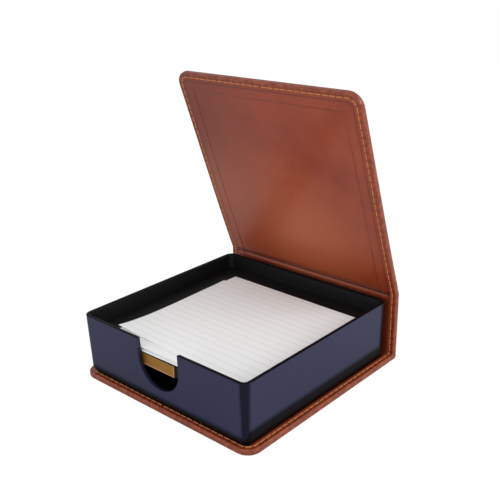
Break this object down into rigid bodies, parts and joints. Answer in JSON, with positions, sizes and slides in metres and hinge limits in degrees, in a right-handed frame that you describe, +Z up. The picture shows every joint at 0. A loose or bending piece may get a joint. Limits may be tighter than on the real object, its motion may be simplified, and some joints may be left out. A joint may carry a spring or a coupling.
{
  "type": "memo pad holder",
  "caption": "Leather book-style memo holder: a hinged lid and spine fold over an open tray with a thumb notch, carrying a shelf of note sheets.",
  "frame": {"origin": "on the table, under the middle of the cover's base", "axes": "+Z up, +Y to the spine at the back, -Y to the thumb notch at the front, +X to the right"},
  "size_m": [0.127, 0.1306, 0.1629],
  "materials": {
    "cover_leather": "semi-gloss coated tan leather",
    "cover_board": "matt grey stiffening board",
    "cover_lining": "semi-gloss coated tan leather lining",
    "seam_thread": "orange-tan sewing thread",
    "tray_plastic": "matt navy moulding",
    "liner_plastic": "matt black thin sheet",
    "adhesive_sheet": "thin foam bonding sheet",
    "plate_brass": "satin brushed brass",
    "note_paper": "white faintly ruled paper"
  },
  "bodies": {
    "base": {"base_leather": "cover_leather", "base_board": "cover_board", "base_lining": "cover_lining", "base_stitching": "seam_thread", "lower_crease": "cover_leather", "tray_adhesive": "adhesive_sheet", "tray_shell": "tray_plastic", "tray_liner": "liner_plastic", "shelf_supports": "liner_plastic", "note_shelf": "liner_plastic", "label_plate": "plate_brass", "note_stack": "note_paper", "note_sheet_lower": "note_paper", "note_sheet_top": "note_paper"},
    "spine": {"spine_leather": "cover_leather", "spine_board": "cover_board", "spine_lining": "cover_lining", "spine_stitching": "seam_thread", "upper_crease": "cover_leather"},
    "lid": {"lid_leather": "cover_leather", "lid_board": "cover_board", "lid_lining": "cover_lining", "lid_stitching": "seam_thread"}
  },
  "joints": [
    {"name": "spine_fold", "type": "hinge", "parent": "base", "child": "spine", "pos_m": [0, 0.0634, 0.0019], "axis": [-1, 0, 0], "range_deg": [0, 90]},
    {"name": "lid_hinge", "type": "hinge", "parent": "spine", "child": "lid", "pos_m": [0, 0.0634, 0.04175], "axis": [-1, 0, 0], "range_deg": [-69.9, 128]}
  ]
}
